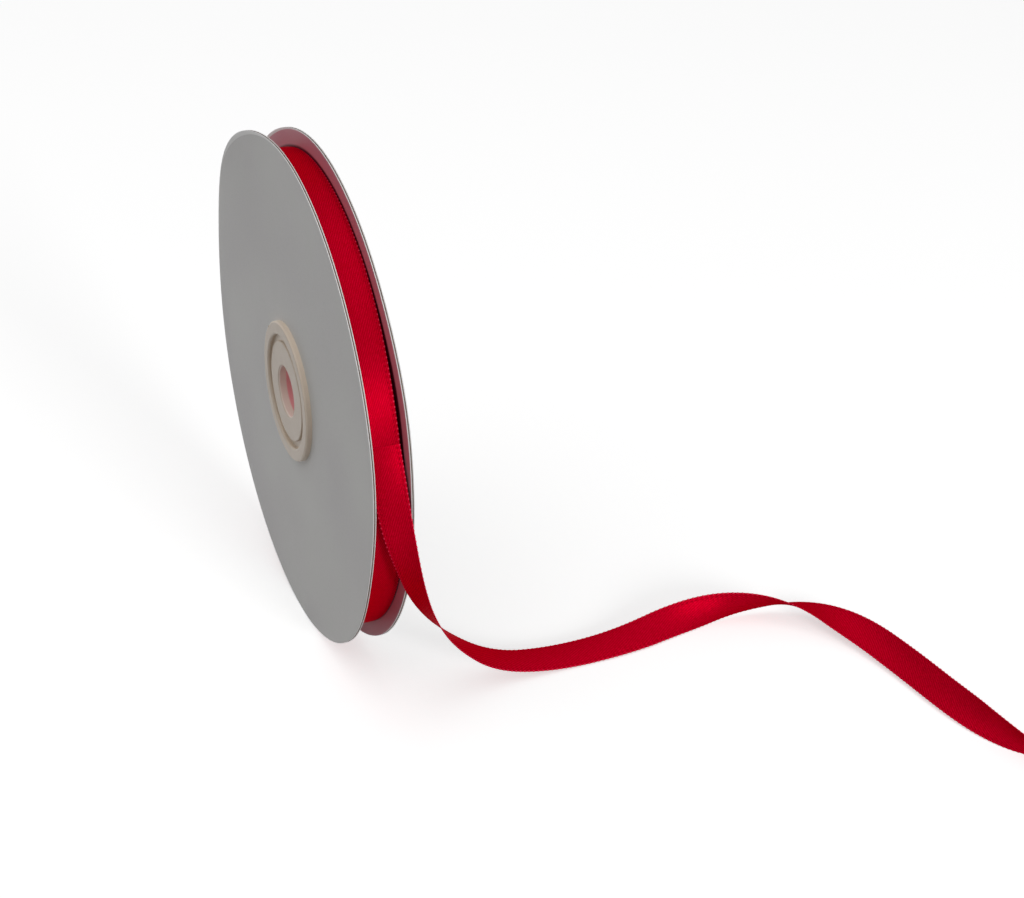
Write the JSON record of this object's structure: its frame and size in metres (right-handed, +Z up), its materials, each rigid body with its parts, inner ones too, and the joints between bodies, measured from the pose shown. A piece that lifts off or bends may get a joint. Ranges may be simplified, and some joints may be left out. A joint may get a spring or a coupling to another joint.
{
  "type": "ribbon spool",
  "caption": "Narrow reel of red satin ribbon with thin round card flanges, a stepped plastic hub with a through bore, and a loose ribbon end curling along the table.",
  "frame": {"origin": "on the table under the spool's axis, half way between the flanges; the spool stands on its two rims", "axes": "+Z up, X along the spool's axis with the front flange at -X, +Y away from the ribbon's free end"},
  "size_m": [0.1281, 0.1693, 0.1016],
  "materials": {
    "facing_paper": "smooth white facing paper, slight sheen",
    "grey_board": "raw recycled grey board at the cut rim",
    "hub_plastic": "cream polystyrene, satin, slightly translucent",
    "tape": "adhesive tape",
    "satin": "red polyester satin ribbon with woven selvedges"
  },
  "bodies": {
    "root": {"front_outer_paper": "facing_paper", "front_board": "grey_board", "front_inner_paper": "facing_paper", "rear_inner_paper": "facing_paper", "rear_board": "grey_board", "rear_outer_paper": "facing_paper", "front_hub_cap": "hub_plastic", "rear_hub_cap": "hub_plastic", "hub_barrel": "hub_plastic", "start_tape": "tape", "ribbon_winding": "satin", "ribbon_tail": "satin"}
  },
  "joints": []
}
